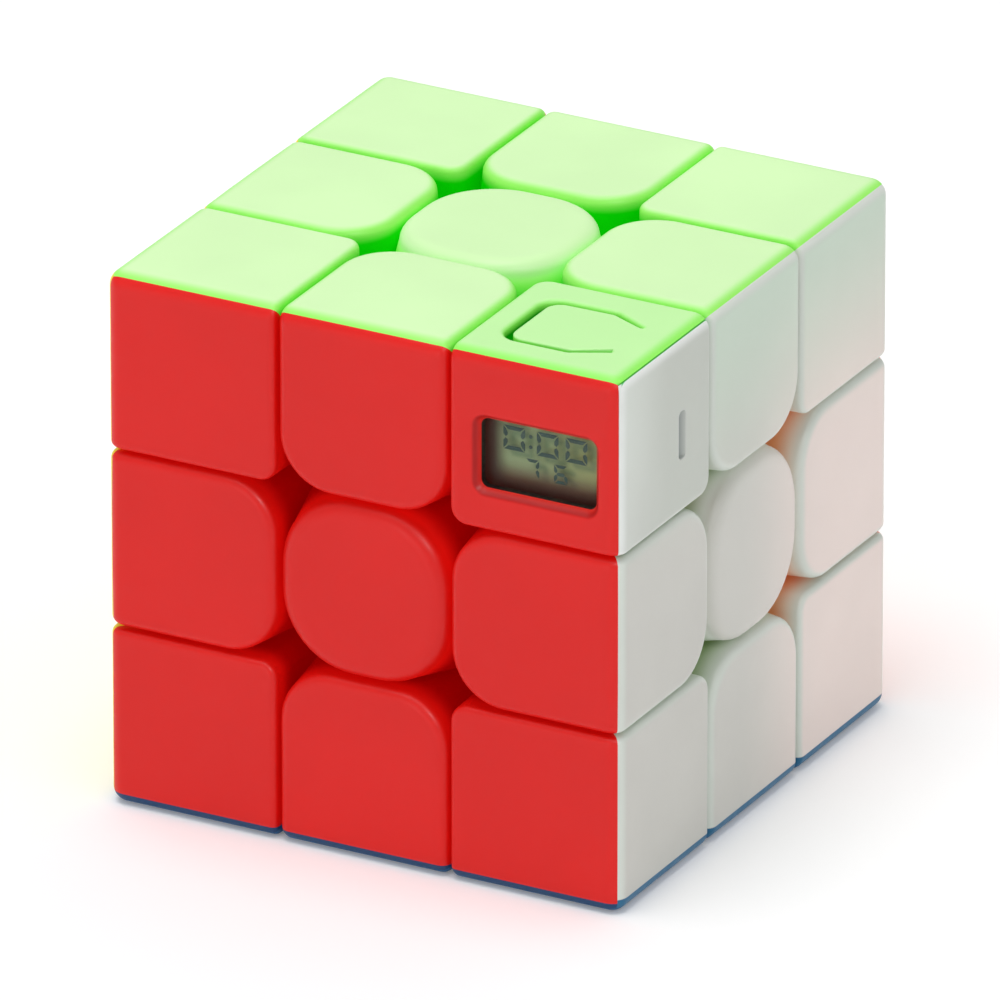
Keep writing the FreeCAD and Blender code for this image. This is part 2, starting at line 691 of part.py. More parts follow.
def batteries():
    """Two coin cells in a row behind the cover, between two contact strips."""
    axis_y = less(minus(CAVITY), cell("cell_radius"), "0.4")
    axis_z = less(MIDDLE, cell("cell_drop"))
    outer_contact = less(COVER_PLANE, cell("cover_gap"), cell("contact_thickness"), "0.1")
    cells, end = [], less(outer_contact, cell("cell_gap"))
    for count in ("outer", "inner"):
        can_end = less(end, cell("cell_button"))
        start = less(can_end, cell("cell_thickness"))
        can = cylinder(f"{count}_can", cell("cell_radius"), (start, axis_y, axis_z), cell("cell_thickness"), "x")
        button_radius = "(Sizes.cell_radius * 0.75)"
        top = cylinder(f"{count}_terminal", button_radius, (can_end, axis_y, axis_z), cell("cell_button"), "x")
        cells.append(fuse(f"{count}_cell", can, top))
        end = less(start, cell("cell_gap"))
    node("coin_cells", group("coin_cells", *cells))

    strips = []
    half = "(Sizes.contact_width / 2)"
    inner_contact = less(end, cell("contact_thickness"))
    for name, place in (("outer", outer_contact), ("inner", inner_contact)):
        far = plus(axis_y, half)
        strips.append(box(
            f"{name}_contact", (place, BOARD_BACK, less(axis_z, half)),
            (plus(place, cell("contact_thickness")), far, plus(axis_z, half)),
        ))
    node("battery_contacts", group("battery_contacts", *strips))


# ---------------------------------------------------------------- build and write

top_sector = sector("top_sector")
corner_hollow = corner_master()
corners(corner_hollow, top_sector)
edges(edge_master(top_sector))
centres(*centre_masters())
core()
tension()
timer_shells(corner_hollow, top_sector)
button()
display()
electronics()
batteries()
doc.recompute()

failed = [item.Name for item in doc.Objects if {"Invalid", "Error"} & set(item.State)]
if failed:
    raise SystemExit(f"these objects did not build: {failed}")

shapes = {}
for name, item in NODES.items():
    shape = Part.getShape(item)
    if shape.isNull() or not shape.isValid() or not shape.Solids:
        raise SystemExit(f"{name} is not a valid solid")
    shapes[name] = shape

os.makedirs("parts", exist_ok=True)
for name, shape in shapes.items():
    shape.exportStep(os.path.join("parts", f"{name}.step"))
print(len(shapes), "nodes,", sum(len(shape.Solids) for shape in shapes.values()), "solids")
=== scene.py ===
import itertools
import math

import bmesh
import bpy
import numpy as np
from mathutils import Matrix
from mathutils.geometry import tessellate_polygon


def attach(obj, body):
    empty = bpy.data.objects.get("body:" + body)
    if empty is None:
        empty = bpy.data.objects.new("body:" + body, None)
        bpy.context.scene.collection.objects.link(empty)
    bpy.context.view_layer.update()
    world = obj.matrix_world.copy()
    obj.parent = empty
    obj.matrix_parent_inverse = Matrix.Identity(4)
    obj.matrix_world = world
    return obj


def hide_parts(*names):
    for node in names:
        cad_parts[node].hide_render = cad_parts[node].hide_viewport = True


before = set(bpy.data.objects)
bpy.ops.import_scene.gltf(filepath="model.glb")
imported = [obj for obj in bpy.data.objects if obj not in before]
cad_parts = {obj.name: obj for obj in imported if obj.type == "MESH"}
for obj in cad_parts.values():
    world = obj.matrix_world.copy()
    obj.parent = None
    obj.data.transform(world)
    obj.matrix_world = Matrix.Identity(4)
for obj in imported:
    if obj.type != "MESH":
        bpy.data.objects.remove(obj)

# A stickerless cube with a timer in one corner. Shapes are worked out in millimetres, with the
# face that a piece shows turned up: u and v run along the face, w points out of it.

scene = bpy.context.scene
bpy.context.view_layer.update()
mm = 0.001

cube = {
    "half": 28.0,  # from the middle to a face
    "seam": 0.3,  # gap between two pieces
    "undercut": 2.8,  # a foot's reach under the next layer
    "edgeRound": 1.65,  # of the cube's outer edges
    "wall": 1.6,
    "mitreGap": 0.02,  # between shells that meet on a mitre plane
}
half, edgeRound, mitreGap = cube["half"], cube["edgeRound"], cube["mitreGap"]
near = half / 3 + cube["seam"] / 2      # where the outer layers start
reach = half / 3 - cube["seam"] / 2     # where the middle layer ends
footLow = near - cube["undercut"]
stemHalf = reach - cube["undercut"]
inner = half - cube["wall"]             # inside of the walls at the faces
cavity = near + cube["wall"]            # and at the seams

normals = {
    "top": (0, 0, 1), "bottom": (0, 0, -1), "front": (0, -1, 0),
    "back": (0, 1, 0), "right": (1, 0, 0), "left": (-1, 0, 0),
}
colours = {
    "top": "green", "bottom": "blue", "front": "red",
    "back": "orange", "right": "white", "left": "yellow",
}


# From points to pieces


def turned(points, first, second, normal):
    # u, v and w laid along three directions; the first two change places to keep a right hand
    axes = np.array([first, second, normal], float)
    if np.linalg.det(axes) < 0:
        axes = axes[[1, 0, 2]]
    return points @ axes


def laid(part, axes, finish):
    # a part turned onto a side of the cube, with its finish
    return turned(part[0], *axes), part[1], finish


def atHeight(flat, height):
    # flat outlines lifted to one height, or to one for each outline or each point
    height = np.asarray(height, float)
    height = height.reshape(height.shape + (1,) * (flat.ndim - 1 - height.ndim))
    return np.concatenate([flat, np.broadcast_to(height, flat.shape[:-1])[..., None]], -1)


def skin(rings, closed="both"):
    # quads between each ring of points and the next. Both ends or only the last close on their
    # middle point, or none does, or the last ring is joined to the first.
    rings = np.asarray(rings, float)
    index = np.arange(rings.shape[0] * rings.shape[1]).reshape(rings.shape[:2])
    lower, upper = index[:-1], index[1:]
    if closed == "joined":
        lower, upper = index, np.roll(index, -1, 0)
    quads = np.stack([lower, upper, np.roll(upper, -1, 1), np.roll(lower, -1, 1)], -1)
    points, faces = rings.reshape(-1, 3), quads.reshape(-1, 4).tolist()
    for ring in {"both": index[[0, -1]], "last": index[-1:]}.get(closed, ()):
        middle = np.full(len(ring), len(points))
        points = np.concatenate([points, points[ring].mean(axis=0)[None]])
        faces += np.stack([middle, ring, np.roll(ring, -1)], -1).tolist()
    return points, faces


def flatFill(*loops):
    # a flat sheet between an outline and its openings
    triangles = tessellate_polygon([[tuple(point) for point in loop] for loop in loops])
    return np.concatenate(loops), [list(triangle) for triangle in triangles]


def makePiece(name, parts, body, node, sharp=32):
    # parts are (points in mm, faces, material); touching points are merged, faces turned outwards
    points = np.concatenate([part[0] for part in parts]) * mm
    faces, finishes, materials, start = [], [], [], 0
    for partPoints, partFaces, material in parts:
        if material not in materials:
            materials.append(material)
        faces += [[corner + start for corner in face] for face in partFaces]
        finishes += [materials.index(material)] * len(partFaces)
        start += len(partPoints)
    mesh = bpy.data.meshes.new(name)
    mesh.from_pydata(points.tolist(), [], faces)
    mesh.polygons.foreach_set("material_index", finishes)
    for material in materials:
        mesh.materials.append(material)
    work = bmesh.new()
    work.from_mesh(mesh)
    bmesh.ops.remove_doubles(work, verts=work.verts, dist=2e-7)
    bmesh.ops.recalc_face_normals(work, faces=work.faces)
    work.to_mesh(mesh)
    work.free()
    mesh.shade_smooth()
    mesh.set_sharp_from_angle(angle=math.radians(sharp))
    piece = bpy.data.objects.new(name, mesh)
    scene.collection.objects.link(piece)
    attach(piece, body)
    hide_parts(node)
    return piece


# Outlines: a rectangle with rounded corners, as one closed ring of points

inward = np.array([1, -1, 1, -1])       # moves uLow, uHigh, vLow and vHigh inwards
fineSeam = np.array([0.05, 0.13, 0.24, 0.4, 0.65])
fineOuter = edgeRound * np.array([0.14, 0.28, 0.44, 0.62, 0.82, 1.02, 1.3])
seamInset = np.array([0, 0.03, 0.1, 0.21, 0.36, 0.55, 0.78, 1.04, 1.5])     # in rim roundings
outerInset = edgeRound * np.array([0, 0.12, 0.24, 0.37, 0.52, 0.68, 0.85, 1.02, 1.15])


def outline(sides, radius, outer=(False,) * 4, arcSteps=12, sideSteps=4):
    # sides are uLow, uHigh, vLow, vHigh, once or for each ring. A corner between two seam sides is
    # an arc of the radius; beside an outer side it is sharp, and points crowd towards it.
    sides = np.atleast_2d(sides)
    ringCount = max(len(sides), np.size(radius))
    sides = np.broadcast_to(sides, (ringCount, 4))
    radius = np.broadcast_to(radius, ringCount)[:, None]
    points = np.stack([sides[:, [0, 1, 1, 0]], sides[:, [2, 2, 3, 3]]], -1)
    directions = np.array([(1, 0), (0, 1), (-1, 0), (0, -1)])
    sideOrder = (2, 1, 3, 0)                       # vLow, uHigh, vHigh, uLow
    blocks, starts, ends = [], [], []
    for corner in range(4):
        before, after = outer[sideOrder[corner - 1]], outer[sideOrder[corner]]
        if before or after:
            blocks.append(points[:, corner, None])
            starts.append(fineOuter if before else fineSeam)
            ends.append(fineOuter if after else fineSeam)
            continue
        angle = math.pi + corner * math.pi / 2 + np.linspace(0, math.pi / 2, arcSteps + 1)
        middle = points[:, corner] + radius * (directions[corner] - directions[corner - 1])
        arc = radius[..., None] * np.column_stack([np.cos(angle), np.sin(angle)])
        blocks.append(middle[:, None] + arc)
        starts.append(np.zeros(0))
        ends.append(np.zeros(0))
    rings = []
    for corner, along in enumerate(directions):
        ahead = (corner + 1) % 4
        first, last = blocks[corner][:, -1], blocks[ahead][:, 0]
        length = ((last - first) @ along)[:, None]
        start, end = starts[corner], ends[ahead]
        low, high = start[-1:].sum(), end[-1:].sum()
        middle = low + (length - low - high) * (np.arange(1, sideSteps) / sideSteps)
        stops = np.hstack([start + 0 * length, middle, length - end[::-1]])
        rings += [blocks[corner], first[:, None] + stops[..., None] * along]
    return np.concatenate(rings, axis=1)


def seamDistance(points, sides, radius, outer):
    # how far a point of a face lies inside its seams; outer sides don't count
    u, v = points[..., 0], points[..., 1]
    radius = np.reshape(radius, np.shape(radius) + (1,) * (u.ndim - np.ndim(radius)))
    gaps = np.stack([u - sides[0], sides[1] - u, v - sides[2], sides[3] - v])
    gaps[np.array(outer)] = 99.0
    gapU, gapV = gaps[:2].min(axis=0), gaps[2:].min(axis=0)
    diagonal = radius - np.hypot(np.maximum(radius - gapU, 0), np.maximum(radius - gapV, 0))
    return np.where((gapU < radius) & (gapV < radius), diagonal, np.minimum(gapU, gapV))


def rimDrop(distance, rimRound):
    # a quarter circle from the face down to the wall
    left = np.clip(rimRound - distance, 0, rimRound)
    return rimRound - np.sqrt(np.maximum(rimRound ** 2 - left ** 2, 0))


def onFace(points, sides, radius, outer, rimRound):
    # a flat face given its form: it drops round the rim at the seams, and a point past the flat
    # part at an outer edge is pulled straight towards the ball that rolls inside that edge
    drop = rimDrop(seamDistance(points, sides, radius, outer), rimRound)
    start = half - edgeRound
    u, v = points[..., 0], points[..., 1]
    ballU = np.minimum(u, start) if outer[1] else u
    ballV = np.minimum(v, start) if outer[3] else v
    ball = np.stack([ballU, ballV, np.full_like(u, start)], -1)
    ray = np.stack([u - ballU, v - ballV, np.full_like(u, edgeRound)], -1)
    ray /= np.linalg.norm(ray, axis=-1, keepdims=True)
    return ball + (edgeRound - drop)[..., None] * ray


def faceAndWalls(look, sides, outer, baseSides, baseHeight, steps, edgeInset=0.0):
    # the face has rings from its flat inside out to its rim. Each ring of the walls lies a share of
    # the way from the rim to the base, with its own corner radius, so that the corners flare as
    # they go down. baseHeight is a height or a function of the base's points.
    rim, radius = look["rim"], look["radius"]
    seams = seamInset * rim
    insets = np.where(outer, outerInset[:, None] + edgeInset, seams[:, None])
    face = outline(sides + inward * insets, np.maximum(radius - seams, 0.05), outer)
    face = onFace(face, sides, radius, outer, rim)[::-1]
    share = np.array(steps)
    radius = radius + (look["baseRadius"] - radius) * share
    top = onFace(outline(np.subtract(sides, edgeInset), radius, outer), sides, radius, outer, rim)
    low = outline(baseSides, radius, outer)
    low = atHeight(low, baseHeight(low) if callable(baseHeight) else baseHeight)
    share = share[:, None, None]
    return face, top * (1 - share) + low * share


def closedInside(ring, scales=(0.15, 0.5, 0.8)):
    # smaller and smaller copies of a ring, to its middle
    middle = ring.mean(axis=0)
    return middle + (ring - middle) * np.array(scales)[:, None, None]


def extruded(profile, low, high):
    # a profile of (v, w) carried along u, with a low and a high end for each of its points
    ends = [np.broadcast_to(end, len(profile)) for end in (low, high)]
    return skin([np.column_stack([end, profile]) for end in ends])


def rounded(low, high, radius):
    # a block with rounded edges: a rounded outline that shrinks round a quarter circle at each end
    turn = np.linspace(0, math.pi / 2, 5)
    rise, fall = radius * (1 - np.cos(turn)), radius * (1 - np.sin(turn))
    inset = np.concatenate([fall, rise])
    sides = np.array([low[0], high[0], low[1], high[1]]) + inward * inset[:, None]
    flat = outline(sides, np.maximum(radius - inset, 0.01), arcSteps=4, sideSteps=3)
    return skin(atHeight(flat, np.concatenate([low[2] + rise, high[2] - fall])))


def lathe(profile, centre, axis, count):
    # a profile of (radius, height) turned about an axis through a point
    radius, height = np.array(profile).T[..., None]
    angle = np.arange(count) * 2 * math.pi / count
    ring = np.stack([radius * np.cos(angle), radius * np.sin(angle), height + 0 * angle], -1)
    order = {"u": [2, 0, 1], "v": [1, 2, 0], "w": [0, 1, 2]}[axis]
    points, faces = skin(ring[..., order])
    return points + centre, faces


# Finishes


def linear(red, green, blue):
    # a written 0 to 255 colour as Blender's linear colour
    channels = np.array([red, green, blue]) / 255
    value = np.where(channels <= 0.04045, channels / 12.92, ((channels + 0.055) / 1.055) ** 2.4)
    return tuple(float(channel) for channel in value) + (1.0,)


class Nodes:
    # short ways to add and join shader nodes
    def __init__(self, name):
        self.material = bpy.data.materials.new(name)
        self.material.use_nodes = True
        self.tree = self.material.node_tree
        self.shader = self.tree.nodes["Principled BSDF"]

    def give(self, node, key, value):
        if isinstance(value, bpy.types.NodeSocket):
            self.tree.links.new(value, node.inputs[key])
        else:
            node.inputs[key].default_value = value

    def join(self, value, key):
        self.give(self.shader, key, value)

    def add(self, kind, inputs=(), **settings):
        node = self.tree.nodes.new(kind)
        for key, value in settings.items():
            setattr(node, key, value)
        for key, value in dict(inputs).items():
            self.give(node, key, value)
        return node

    def number(self, operation, *values):
        return self.add("ShaderNodeMath", dict(enumerate(values)), operation=operation).outputs[0]

    def mix(self, share, first, second, blend="MIX"):
        # a colour is a node's output, or three numbers from 0 to 255
        first, second = (linear(*colour) if isinstance(colour, tuple) else colour
                         for colour in (first, second))
        inputs = {0: share, 6: first, 7: second}
        return self.add("ShaderNodeMix", inputs, data_type="RGBA", blend_type=blend).outputs[2]

    def spread(self, value, low, high, toLow=0.0, toHigh=1.0):
        inputs = {0: value, 1: low, 2: high, 3: toLow, 4: toHigh}
        return self.add("ShaderNodeMapRange", inputs, interpolation_type="SMOOTHSTEP").outputs[0]

    def noise(self, scale, detail, roughness=0.5):
        place = self.add("ShaderNodeTexCoord").outputs["Object"]
        inputs = {"Vector": place, "Scale": scale, "Detail": detail, "Roughness": roughness}
        return self.add("ShaderNodeTexNoise", inputs).outputs[0]

    def grain(self, low, high, *noise):
        # a number that wanders between two values
        return self.spread(self.noise(*noise), 0.3, 0.7, low, high)

    def mottled(self, first, second, *noise):
        # a colour that wanders between two
        return self.mix(self.grain(0.0, 1.0, *noise), first, second)

    def shaded(self, colour, share):
        grey = self.add("ShaderNodeCombineColor", {0: share, 1: share, 2: share}).outputs[0]
        return self.mix(1.0, colour, grey, "MULTIPLY")

    def bump(self, height, strength, distance):
        inputs = {"Height": height, "Strength": strength, "Distance": distance}
        self.join(self.add("ShaderNodeBump", inputs).outputs[0], "Normal")

    def place(self):
        coordinates = self.add("ShaderNodeTexCoord").outputs["Object"]
        return self.add("ShaderNodeSeparateXYZ", {0: coordinates}).outputs

    def depth(self):
        # metres below the cube's nearest face
        x, y, z = (self.number("ABSOLUTE", value) for value in self.place())
        largest = self.number("MAXIMUM", self.number("MAXIMUM", x, y), z)
        return self.number("SUBTRACT", half * mm, largest)


plasticLook = {
    "roughness": (0.36, 0.45),
    "shine": (0.4, 0.1),  # on the face and deep in the gaps
    "shineDepths": (0.0003, 0.0014),  # metres below the cube's faces
    # depths of the painted glow in the gaps
    "paintedGlowDepths": (0.0002, 0.0018),
    "flow": (0.965, 1.02),  # faint marks of the plastic's flow
    "grain": (0.12, 0.00004),  # strength and depth
    "wrapSoft": 0.00005, "refraction": 1.46,
}


def plastic(name, face, rim, deep, glow, rimDepths=(0.0, 0.00026), deepDepths=(0.0003, 0.0036),
            tints=(), deepTints=(), wrap=None):
    # moulded plastic: a face colour, with flow marks and grain of its own; a rim colour on the
    # rounded rims, which is painted light and shade; a deep colour in the gaps, which is painted
    # shade and painted light carried through the plastic; and a painted glow in the gaps, where the
    # plastic is no lamp. A tint is (axis, from, to, colour): painted light, shade and reflected
    # colour by place. wrap is the height below which the bottom's plastic comes up round the edge,
    # and its colour there: the bottom's blue, darkened under red and paled under white as painted
    # shade and light.
    nodes = Nodes(name)
    places = nodes.place()
    for axis, low, high, tint in tints:
        face = nodes.mix(nodes.spread(places[axis], low, high), face, tint)
    for axis, low, high, tint in deepTints:
        deep = nodes.mix(nodes.spread(places[axis], low, high), deep, tint)
    depth = nodes.depth()
    # the square root of the depth grows evenly along a rounded edge
    arc = nodes.number("SQRT", nodes.number("MAXIMUM", depth, 0.0))
    # painted light and shade: the rim colour on the rounded rims, then the deep colour in the gaps
    colour = nodes.mix(nodes.spread(arc, *np.sqrt(rimDepths).tolist()), face, rim)
    colour = nodes.mix(nodes.spread(depth, *deepDepths), colour, deep)
    if wrap:
        low, high = wrap[0] - plasticLook["wrapSoft"], wrap[0] + plasticLook["wrapSoft"]
        colour = nodes.mix(nodes.spread(places[2], low, high), wrap[1], colour)
    colour = nodes.shaded(colour, nodes.grain(*plasticLook["flow"], 55, 2))
    nodes.join(colour, "Base Color")
    # painted glow: emission in the gaps stands in for light carried through the plastic
    nodes.join(colour, "Emission Color")
    nodes.join(nodes.spread(depth, *plasticLook["paintedGlowDepths"], 0.0, glow), "Emission Strength")
    nodes.join(nodes.grain(*plasticLook["roughness"], 700, 4, 0.6), "Roughness")
    shine = nodes.spread(depth, *plasticLook["shineDepths"], *plasticLook["shine"])
    nodes.join(shine, "Specular IOR Level")
    nodes.bump(nodes.noise(5200, 3, 0.6), *plasticLook["grain"])
    nodes.join(plasticLook["refraction"], "IOR")
    return nodes.material


# a face colour is the plastic's own; rim, deep and glow colours are painted light and shade: rims
# lit or shaded as they turn, gaps shaded and lit by light carried through the plastic
plastics = {
    # wrap: the bottom's blue round the lower edge, partly the blue plastic and partly painted
    # contact shade; darker under the red side, paler under the white side
    "red": {"face": (226, 20, 14), "rim": (231, 21, 15), "deep": (178, 0, 2), "glow": 0.22,
            "wrap": (-0.0268, (8, 62, 108))},
    "green": {"face": (217, 255, 190), "rim": (158, 251, 104), "deep": (4, 204, 0), "glow": 0.24,
              "rimDepths": (0.0, 0.00042), "deepDepths": (0.0005, 0.0017)},
    # the white side has painted reflected colour from what stands round it: warmer towards the
    # back, greener towards the top, orange deep in its gaps towards the back
    "white": {"face": (215, 214, 207), "rim": (224, 230, 222), "deep": (142, 166, 114),
              "glow": 0.1, "wrap": (-0.02642, (34, 108, 148)),
              "tints": ((1, -0.004, 0.016, (250, 234, 227)), (2, 0.004, 0.028, (214, 232, 214))),
              "deepTints": ((1, 0.004, 0.011, (232, 158, 110)),)},
    "blue": {"face": (10, 92, 142), "rim": (12, 94, 146), "deep": (0, 60, 130), "glow": 0.05},
    "orange": {"face": (250, 116, 30), "rim": (255, 112, 24), "deep": (235, 70, 0), "glow": 0.12,
               "wrap": (-0.02695, (10, 92, 142))},
    "yellow": {"face": (246, 226, 44), "rim": (250, 224, 30), "deep": (230, 176, 0), "glow": 0.14,
               "wrap": (-0.02668, (10, 92, 142))},
    "timerGreen": {"face": (200, 253, 172), "rim": (150, 250, 98), "deep": (0, 158, 0),
                   "glow": 0.55, "rimDepths": (0.0, 0.0004), "deepDepths": (0.00042, 0.001)},
    # the battery cover's painted light and shade: lighter towards the top, darker away from the
    # front, a pale rim as painted highlight, grey-green below its rims as painted shade, painted
    # green light in the gap under the top shell and a painted pale rim along the front edge
    "timerWhite": {"face": (218, 222, 215), "rim": (244, 247, 244), "deep": (150, 168, 136),
                   "glow": 0.0, "rimDepths": (0.0, 0.0004), "deepDepths": (0.00034, 0.0004),
                   "tints": ((2, 0.009, 0.024, (226, 232, 224)),
                             (1, -0.0275, -0.0175, (206, 211, 202))),
                   "deepTints": ((2, 0.0255, 0.0262, (0, 196, 92)),
                                 (1, -0.0268, -0.0272, (236, 240, 236)))},
    # the pry slot in the cover's white, turning grey and darker down into the slot: painted shade
    "pryPaintedShade": {"face": (204, 208, 201), "rim": (190, 195, 190), "deep": (140, 150, 150),
                "glow": 0.0, "rimDepths": (0.0, 0.0002), "deepDepths": (0.0001, 0.0008)},
    # the window's bevel: darker where it turns over from the face, painted shade, and lighter
    # further in, painted light
    "bevelShadedRed": {"face": (226, 20, 14), "rim": (190, 8, 6), "deep": (244, 54, 46), "glow": 0.0,
                 "rimDepths": (0.00001, 0.0002), "deepDepths": (0.00025, 0.00085)},
}
# the start button lies a little below the face; on a centre's broad shoulder the face colour
# reaches further down before the painted light and shade of the rim and deep colours
plastics["buttonGreen"] = {**plastics["timerGreen"], "rimDepths": (0.00011, 0.0004)}
centreDepths = {"rimDepths": (0.0006, 0.0026), "deepDepths": (0.0014, 0.0042)}
for colour in colours.values():
    plastics[colour + "Centre"] = {**plastics[colour], **centreDepths}
finishes = {name: plastic(name + "Plastic", **settings) for name, settings in plastics.items()}
print("finishes ready")


# Corner pieces

corner = {
    "radius": 1.8,  # inner corner of the face
    "baseRadius": 1.0, "baseDepth": 16.0,
    "rim": 0.68,  # rounding of the face's rim at the seams
    "footReach": 2.85,  # the feet's running ball passes this far outside the cell's corner
    "wingTop": 0.6,  # how far a wing runs up into the block
    "wingGap": 0.004,  # keeps the two half wings from sharing a sheet
}
cornerSides = (near, half, near, half)
cornerOuter = (False, True, False, True)
wallSteps = (0.03, 0.07, 0.12, 0.18, 0.25, 0.33, 0.42, 0.52, 0.63, 0.75, 0.88, 1.0)


def footArc(radius, count):
    # a foot's running face: a circle from the mitre plane at 45 degrees down to v at footLow
    angle = np.linspace(math.pi / 4, math.asin(math.sqrt(1 - (footLow / radius) ** 2)), count)
    return radius * np.column_stack([np.cos(angle), np.sin(angle)])


def cornerBlock():
    # the face, and walls that draw in evenly along the mitre planes down to a blunt end
    base = half - corner["baseDepth"]
    end = base - mitreGap
    ends = (near, end, near, end)
    face, walls = faceAndWalls(corner, cornerSides, cornerOuter, ends, base, wallSteps)
    low = closedInside(walls[-1], (0.6, 0.2)) - np.array([0, 0, 1.0])
    return skin(np.concatenate([closedInside(face[0]), face, walls, low]))


def cornerWings():
    # two half wings of the foot: a profile between the block and the running ball, carried along u
    # up to the mitre plane, where u is v
    track = half / 3 * math.sqrt(3) + corner["footReach"] - cube["seam"] / 2
    top, gap = near + corner["wingTop"], corner["wingGap"]
    arc = footArc(math.sqrt(track ** 2 - near ** 2), 10)
    profile = np.concatenate([[(footLow, footLow), (top, top)], arc, [(footLow, top)]])
    points, faces = extruded(profile, footLow, np.minimum(top, profile[:, 1]))
    return [(points, faces), (points[:, [1, 0, 2]] + np.array([gap, gap, 0]), faces)]


masterBlock = cornerBlock()
masterWings = cornerWings()
rows = (("top", "bottom"), ("front", "back"), ("left", "right"))
for sides in itertools.product(*rows):
    if sides == ("top", "front", "right"):      # the timer's place
        continue
    for side in sides:
        colour = colours[side]
        axes = [normals[other] for other in sides if other != side] + [normals[side]]
        parts = [laid(part, axes, finishes[colour]) for part in [masterBlock] + masterWings]
        place = "_".join(sides)
        node = f"corner_{place}_{colour}"
        makePiece(node + "_shell", parts, place + "_corner", node)
print("corners ready")


# Edge pieces

edge = {
    "radius": 5.6,  # inner corners of the face
    "baseRadius": 1.4, "rim": 1.0,
    "track": 18.066,  # radius of the arch under the block
    "footTrack": 17.745,
    "neckLow": 12.0, "neckTop": 16.3, "neckCorner": (14.0, 14.4),
    "neckInset": 0.01,  # the neck is this much narrower than the foot
}
edgeSides = (-reach, reach, near, half)
edgeOuter = (False, False, False, True)


def edgeHalf():
    # the face, and walls that end on an arch: its height is the root of the track's square less
    # that of v. Below it are the foot and the neck, profiles carried along the edge.
    ends = (-reach, reach, near, edge["track"] / math.sqrt(2) - mitreGap)
    arch = lambda flat: np.sqrt(np.maximum(edge["track"] ** 2 - flat[..., 1] ** 2, 1.0))
    face, walls = faceAndWalls(edge, edgeSides, edgeOuter, ends, arch, wallSteps)
    low = closedInside(walls[-1], (0.7, 0.3))
    low[..., 2] = arch(low)
    block = skin(np.concatenate([closedInside(face[0]), face, walls, low]))
    foot = np.concatenate([[(footLow, footLow)], footArc(edge["footTrack"], 12)])
    neckLow = edge["neckLow"]
    neck = [(near, neckLow), (neckLow, neckLow), edge["neckCorner"], (near, edge["neckTop"])]
    inside = stemHalf - edge["neckInset"]
    return [block, extruded(foot, -stemHalf, stemHalf), extruded(neck, -inside, inside)]


masterHalf = edgeHalf()
for one, other in itertools.combinations(rows, 2):
    for first, second in itertools.product(one, other):
        parts = []
        for up, out in ((first, second), (second, first)):
            axes = np.cross(normals[out], normals[up]), normals[out], normals[up]
            parts += [laid(part, axes, finishes[colours[up]]) for part in masterHalf]
        place = f"{first}_{second}"
        makePiece(f"edge_{place}_shells", parts, place + "_edge", "edge_" + place)
print("edges ready")


# Centre pieces

centre = {
    "radius": 7.8, "baseRadius": 2.0, "rim": 1.6,
    "baseHeight": 19.166,  # underside of the block
    "capThickness": 2.6,
    "plug": 1.5, "plugTop": 0.9, "plugFit": 0.05, "plugRound": 0.25,
    "seat": 9.5,  # the stem's end, on the core's arm
    "stemRadius": 0.6, "webTop": 11.1, "wellRadius": 4.2, "boreRadius": 1.5,
}
centreSides = (-reach, reach, -reach, reach)


def centreMasters():
    # the base and the cap share one flaring wall, split at the cap's lower side; the base's rings
    # run on through the well and the bore, out over the seat and up the stem to where they began
    low, split = centre["baseHeight"], half - centre["capThickness"]
    share = (centre["capThickness"] - centre["rim"]) / (half - low - centre["rim"])
    steps = [*share * np.linspace(0.2, 1, 5), *share + (1 - share) * np.linspace(0, 1, 12)]
    face, walls = faceAndWalls(centre, centreSides, (False,) * 4, centreSides, low, steps)
    skirt, outside = walls[:5], walls[5:]
    underside = closedInside(skirt[-1], (0.6, 0.3))
    cap = skin(np.concatenate([closedInside(face[0]), face, skirt, underside]))
    plugLow, plugTop = split - centre["plug"], split + centre["plugTop"]
    side = (centre["wellRadius"] - centre["plugFit"]) / math.sqrt(2)
    plug = rounded((-side, -side, plugLow), (side, side, plugTop), centre["plugRound"])
    well, bore, stem = centre["wellRadius"], centre["boreRadius"], centre["stemRadius"]
    webTop, seat = centre["webTop"], centre["seat"]
    path = ((well, well, split), (well, well, webTop), (bore, bore, webTop), (bore, bore, seat),
            (stemHalf, stem, seat), (stemHalf, stem, low))
    inside = [atHeight(outline((-side, side, -side, side), radius)[0], height)
              for side, radius, height in path]
    return skin(np.concatenate([outside[::-1], inside]), "joined"), [cap, plug]


centreBase, centreCap = centreMasters()
for side, normal in normals.items():
    up = normals[{"top": "back", "bottom": "front"}.get(side, "top")]
    axes = np.cross(up, normal), up, normal
    for partName, master in (("base", [centreBase]), ("cap", centreCap)):
        parts = [laid(part, axes, finishes[colours[side] + "Centre"]) for part in master]
        node = f"centre_{side}_{partName}"
        makePiece(node + "_shell", parts, side + "_centre", node)
print("centres ready")


# The timer corner's shells

timer = {
    "radius": 1.8, "baseRadius": 1.674, "rim": 0.68,
    "coverPlane": 25.6,  # the battery cover starts here
    "housingEnd": 25.5, "bulge": 0.17,
    "wallTop": 26.9, "wallLow": 9.9,  # of the hidden walls below the faces
    "sharp": 38,  # degrees between two facets that still look smooth
}
frontAxes = ((1, 0, 0), (0, 0, 1), (0, -1, 0))    # u is x, v is z, w is -y
topAxes = ((0, -1, 0), (1, 0, 0), (0, 0, 1))      # u is -y, v is x, w is z
rightAxes = ((0, 0, 1), (0, -1, 0), (1, 0, 0))    # u is z, v is -y, w is x


